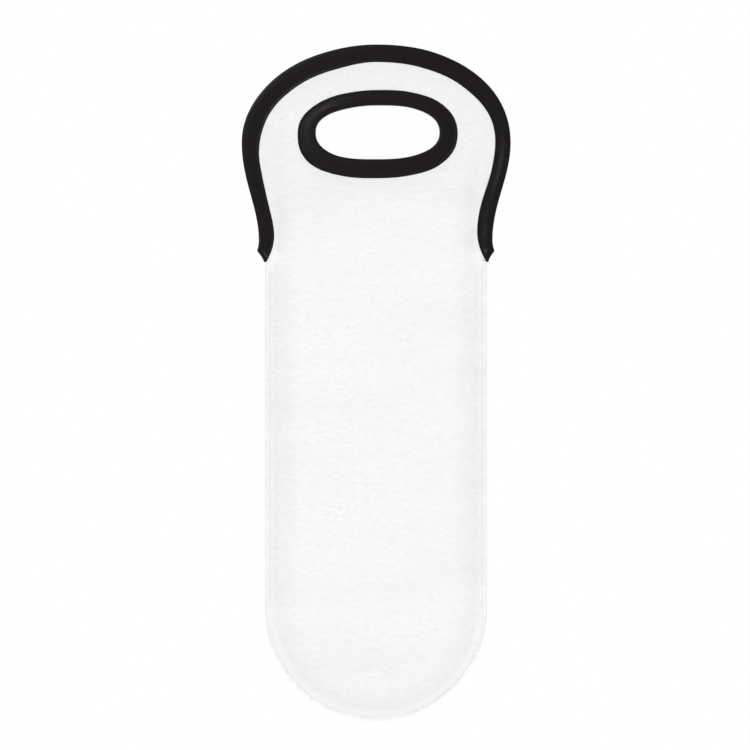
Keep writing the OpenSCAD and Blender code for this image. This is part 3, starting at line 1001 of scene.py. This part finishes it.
def stitch_shape(reach, radius):
    """One stitch made by hand: a small grain of thread whose ends dive into the cloth."""
    bpy.ops.object.select_all(action="DESELECT")
    bpy.ops.mesh.primitive_uv_sphere_add(segments=6, ring_count=6, radius=1)
    grain = bpy.context.active_object
    bpy.ops.object.mode_set(mode="EDIT")
    bpy.ops.mesh.select_all(action="SELECT")
    bpy.ops.transform.rotate(value=math.pi / 2, orient_axis="Y", center_override=(0, 0, 0))
    bpy.ops.transform.resize(value=(reach / 2, radius, radius), center_override=(0, 0, 0))
    bpy.ops.object.mode_set(mode="OBJECT")
    xyz = np.zeros(len(grain.data.vertices) * 3)
    grain.data.vertices.foreach_get("co", xyz)
    xyz = xyz.reshape(-1, 3)
    xyz[:, 2] -= radius * (2 * xyz[:, 0] / reach) ** 4
    faces = [tuple(p.vertices) for p in grain.data.polygons]
    bpy.data.objects.remove(grain)
    return xyz, faces


def stitched(name, shape, stitches, side):
    """One piece of many stitches, each with its own place and its own three axes."""
    points, faces = shape
    xyz = [spot + points @ np.array(axes) for spot, axes in stitches]
    copies = [tuple(i + k * len(points) for i in f) for k in range(len(stitches)) for f in faces]
    return new_piece(name, np.vstack(xyz), copies, side)


def sewn(name, cut, line, normals, material):
    """Row of stitches along a line of points, as one piece."""
    reach = STITCH_SHARE * cut.tape.stitch_pitch
    run = run_length(line)
    count = int(run[-1] / cut.tape.stitch_pitch)
    stitches = []
    for s in (np.arange(count) + 0.5) * run[-1] / count:
        ends = np.clip([s - reach / 2, s + reach / 2], 0, run[-1])
        behind, ahead = sampled(line, run, ends)
        way = ahead - behind
        way /= np.linalg.norm(way)
        up = sampled(normals, run, s)
        up -= way * (up @ way)
        up /= np.linalg.norm(up)
        stitches.append((sampled(line, run, s), (way, np.cross(up, way), up)))
    piece = stitched(name, stitch_shape(reach, cut.tape.stitch_r), stitches, cut.side)
    dress(piece, material)
    return piece


def joined(name, pieces):
    """Pieces joined into one, under a new name."""
    only(pieces[0])
    for piece in pieces[1:]:
        piece.select_set(True)
    bpy.ops.object.join()
    pieces[0].name = pieces[0].data.name = name
    return pieces[0]


class CARRIER_OT_tape_stitches(Operator):
    """Sew the binding tape down on both faces with black thread"""

    bl_idname = "carrier.tape_stitches"
    bl_label = "Tape stitches"

    def execute(self, context):
        tape, looks = context.scene.carrier_tape, context.scene.carrier_looks
        thread = thread_finish("black_thread", looks.thread)
        height = SEAT + tape.thickness - STITCH_SINK
        for cut in cuts(context):
            hole = [np.vstack([line, line[:1]]) for line in cut.hole_lines(HOLE_ROW)]
            for place, (start, end) in (("rim", cut.rim_lines(RIM_ROW)), ("hole", hole)):
                wide = np.linalg.norm(end - start, axis=1) > 3 * tape.stitch_in
                plan = across(end[wide], start[wide], tape.stitch_in)
                rows = []
                for face in (1, -1):
                    line, normals = cut.lifted(plan, np.full(len(plan), face * height))
                    row = f"{cut.side}_{place}_row_{face}"
                    rows.append(sewn(row, cut, line, face * normals, thread))
                piece = joined(f"{cut.side}_{place}_stitches", rows)
                go_with_grip(piece, place, cut)
        return {"FINISHED"}


def seam_frame(cut, steps, start_z):
    """Stations round the pocket's seam: way out, middle that it is measured from, and length."""
    straight = start_z - cut.centre_z
    bend = math.pi * cut.roll_x
    at = np.linspace(0, 2 * straight + bend, steps + 1)
    angle = np.clip((at - straight) / cut.roll_x, 0, math.pi)
    rising = np.where(at > straight + bend, cut.centre_z + at - straight - bend, cut.centre_z)
    z = np.where(at < straight, start_z - at, rising)
    away = np.column_stack([np.cos(angle), at * 0, -np.sin(angle)])
    return away, np.column_stack([at * 0, at * 0, z]), at[-1]


class CARRIER_OT_overlock(Operator):
    """Wrap the overlock thread round the cut edges of the seam allowances"""

    bl_idname = "carrier.overlock"
    bl_label = "Overlock"

    def execute(self, context):
        sizes = context.scene.carrier_thread
        cut = Cut(context.scene, "front")
        cut_x = cut.roll_x - cut.pocket.allowance
        inner, outer = cut_x - sizes.wrap_r, cut_x + sizes.wrap_w
        level = cut.panel_t + sizes.wrap_r
        corner = ((inner + WRAP_CORNER, level), (inner, level - WRAP_CORNER))
        over = [(outer, level), (lerp(outer, inner, 0.5), level), *corner]
        loop = [*over, (inner, 0), *((r, -y) for r, y in over[::-1]), (outer, 0)]
        away, centre, total = seam_frame(cut, WRAP_STEPS, cut.top_z - WRAP_DROP)
        count = int(total / sizes.wrap_pitch) * len(loop)
        points = []
        for k in range(count):
            at = int(round(k / count * WRAP_STEPS))
            r, y = loop[k % len(loop)]
            points.append(centre[at] + away[at] * r + np.array([0, y, 0]))
        curve = bpy.data.curves.new("overlock_thread", "CURVE")
        curve.dimensions = "3D"
        curve.bevel_depth = sizes.wrap_r
        curve.bevel_resolution = 1
        curve.use_fill_caps = True
        spline = curve.splines.new("POLY")
        spline.points.add(len(points) - 1)
        spline.points.foreach_set("co", np.column_stack([points, np.ones(len(points))]).ravel())
        piece = placed("overlock_thread", curve)
        only(piece)
        bpy.ops.object.convert(target="MESH")
        bpy.ops.object.shade_smooth()
        dress(piece, bpy.data.materials["black_thread"], ("seam_overlock",))
        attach(piece, "pocket")
        return {"FINISHED"}


class CARRIER_OT_seam_thread(Operator):
    """Sew the two rolled edges together in the groove of the side seam"""

    bl_idname = "carrier.seam_thread"
    bl_label = "Seam thread"

    def execute(self, context):
        sizes = context.scene.carrier_thread
        cut = Cut(context.scene, "front")
        material = thread_finish("white_thread", context.scene.carrier_looks.seam_thread)
        away, centre, total = seam_frame(cut, LADDER_STEPS, cut.top_z - LADDER_DROP)
        count = int(total / sizes.ladder_pitch)
        stitches = []
        for k in range(count):
            at = int((k + 0.5) / count * LADDER_STEPS)
            out = away[at]
            slant = np.array([0, 1, 0]) + LADDER_SLANT * np.cross(out, [0, 1, 0])
            slant /= np.linalg.norm(slant)
            spot = centre[at] + out * (cut.roll_x + LADDER_OUT)
            stitches.append((spot, (slant, np.cross(out, slant), out)))
        shape = stitch_shape(LADDER_REACH, sizes.ladder_r)
        piece = stitched("seam_thread", shape, stitches, "back")
        piece.data.flip_normals()
        dress(piece, material)
        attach(piece, "pocket")
        return {"FINISHED"}


def white_room(fill):
    """World that looks white, and lights the carrier softly from all round."""
    world = bpy.data.worlds.new("white_room")
    world.use_nodes = True
    nodes, links = world.node_tree.nodes, world.node_tree.links
    nodes.clear()
    choose = nodes.new("ShaderNodeMixShader")
    path = nodes.new("ShaderNodeLightPath")
    links.new(path.outputs["Is Camera Ray"], choose.inputs[0])
    # The first shade gives the light, and the second is the white that the camera sees
    for socket, strength in ((1, fill), (2, 1.0)):
        shade = nodes.new("ShaderNodeBackground")
        shade.inputs["Color"].default_value = (1, 1, 1, 1)
        shade.inputs["Strength"].default_value = strength
        links.new(shade.outputs[0], choose.inputs[socket])
    links.new(choose.outputs[0], nodes.new("ShaderNodeOutputWorld").inputs[0])
    return world


class CARRIER_OT_stage(Operator):
    """Set the pale floor, the soft light and the camera"""

    bl_idname = "carrier.stage"
    bl_label = "Stage"

    def execute(self, context):
        scene, settings = context.scene, context.scene.carrier_stage
        bpy.ops.object.select_all(action="DESELECT")
        middle = (0, 0, settings.floor_z)
        bpy.ops.mesh.primitive_circle_add(
            vertices=96, radius=settings.floor_r, fill_type="NGON", location=middle
        )
        floor = context.active_object
        floor.name = "floor"
        bpy.ops.object.transform_apply(location=True)
        dress(floor, floor_finish(settings))
        floor.visible_shadow = False
        floor.visible_diffuse = False
        scene.world = white_room(settings.fill)

        for name, towards, energy in (
            ("key", (0, 1, -0.03), settings.key),
            ("left_wrap", (0.93, -0.37, 0), settings.wrap),
            ("right_wrap", (-0.93, -0.37, 0), settings.wrap),
            ("low_wrap", (0, -0.37, 0.93), LOW_WRAP_SHARE * settings.wrap),
            ("top", (0, 0.05, -1), settings.top),
            ("glint", (0.40, 0.876, -0.267), settings.glint),
        ):
            light = bpy.data.lights.new(name, "SUN")
            light.energy = energy
            lamp = placed(name, light)
            shines = name == "glint"
            light.angle = settings.glint_size if shines else settings.soft_size
            lamp.visible_glossy = shines
            lamp.visible_diffuse = not shines
            way = Vector(towards).normalized()
            lamp.rotation_euler = way.to_track_quat("-Z", "Y").to_euler()
            lamp.location = -LAMP_FAR * way

        lens = bpy.data.cameras.new("camera")
        lens.lens = lens.sensor_width * settings.camera_far / settings.view_w
        lens.clip_end = 100
        scene.camera = placed("camera", lens)
        scene.camera.location = (settings.camera_x, -settings.camera_far, settings.camera_z)
        scene.camera.rotation_euler = (math.pi / 2, 0, 0)
        scene.view_settings.view_transform = "Standard"
        return {"FINISHED"}


class CARRIER_PT_sidebar(Panel):
    """The carrier's sizes, finishes and pieces"""

    bl_idname = "CARRIER_PT_sidebar"
    bl_label = "Bottle carrier"
    bl_space_type = "VIEW_3D"
    bl_region_type = "UI"
    bl_category = "Carrier"

    def draw(self, context):
        scene = context.scene
        for name, (title, _) in GROUPS.items():
            box = self.layout.box()
            box.label(text=title)
            group = getattr(scene, name)
            for key in group.__annotations__:
                box.prop(group, key)
        for operator in MAKERS:
            self.layout.operator(operator.bl_idname)


GROUPS = {
    "carrier_pocket": ("Pocket", PocketSizes),
    "carrier_grip": ("Grips", GripSizes),
    "carrier_tape": ("Tape", TapeSizes),
    "carrier_thread": ("Thread", ThreadSizes),
    "carrier_looks": ("Finishes", Finishes),
    "carrier_stage": ("Stage", StageSettings),
}
MAKERS = (
    CARRIER_OT_panels,
    CARRIER_OT_rim_tapes,
    CARRIER_OT_hole_tapes,
    CARRIER_OT_tape_stitches,
    CARRIER_OT_overlock,
    CARRIER_OT_seam_thread,
    CARRIER_OT_stage,
)
CLASSES = (*(kind for _, kind in GROUPS.values()), *MAKERS, CARRIER_PT_sidebar)


def register():
    for kind in CLASSES:
        bpy.utils.register_class(kind)
    for name, (_, kind) in GROUPS.items():
        setattr(bpy.types.Scene, name, PointerProperty(type=kind))


def unregister():
    for name in GROUPS:
        delattr(bpy.types.Scene, name)
    for kind in reversed(CLASSES):
        bpy.utils.unregister_class(kind)


def main():
    register()
    bpy.ops.carrier.panels()
    bpy.ops.carrier.rim_tapes()
    bpy.ops.carrier.hole_tapes()
    bpy.ops.carrier.tape_stitches()
    bpy.ops.carrier.overlock()
    bpy.ops.carrier.seam_thread()
    bpy.ops.carrier.stage()


if __name__ == "__main__":
    main()
